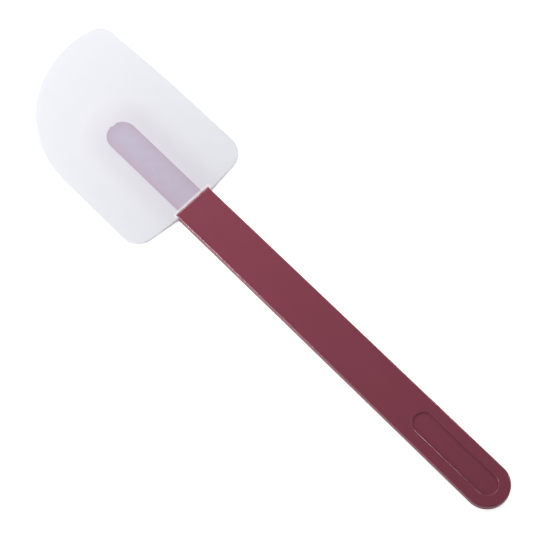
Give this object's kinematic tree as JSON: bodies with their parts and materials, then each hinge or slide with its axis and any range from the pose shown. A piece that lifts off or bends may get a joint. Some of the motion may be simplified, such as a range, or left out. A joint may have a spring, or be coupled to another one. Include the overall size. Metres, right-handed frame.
{
  "type": "silicone spatula",
  "caption": "Flat baking scraper: a wide, milky silicone blade with a swept corner slips onto the tongue of a long wine red plastic handle.",
  "frame": {"origin": "middle of the footprint, on the plane that the back faces of the handle and of the blade's spine lie on", "axes": "+X from the handle's round end to the blade's tip, +Y towards the blade's wide swept corner, +Z out of the front face, which has the recess"},
  "size_m": [0.28, 0.0662, 0.004],
  "materials": {
    "handle_plastic": "moulded, glossy, wine red",
    "blade_silicone": "satin, milky translucent silicone"
  },
  "bodies": {
    "handle": {"handle": "handle_plastic"},
    "blade": {"blade": "blade_silicone"}
  },
  "joints": [
    {"name": "blade_pull", "type": "slide", "parent": "handle", "child": "blade", "axis": [1, 0, 0], "range_m": [0, 0.055]}
  ]
}
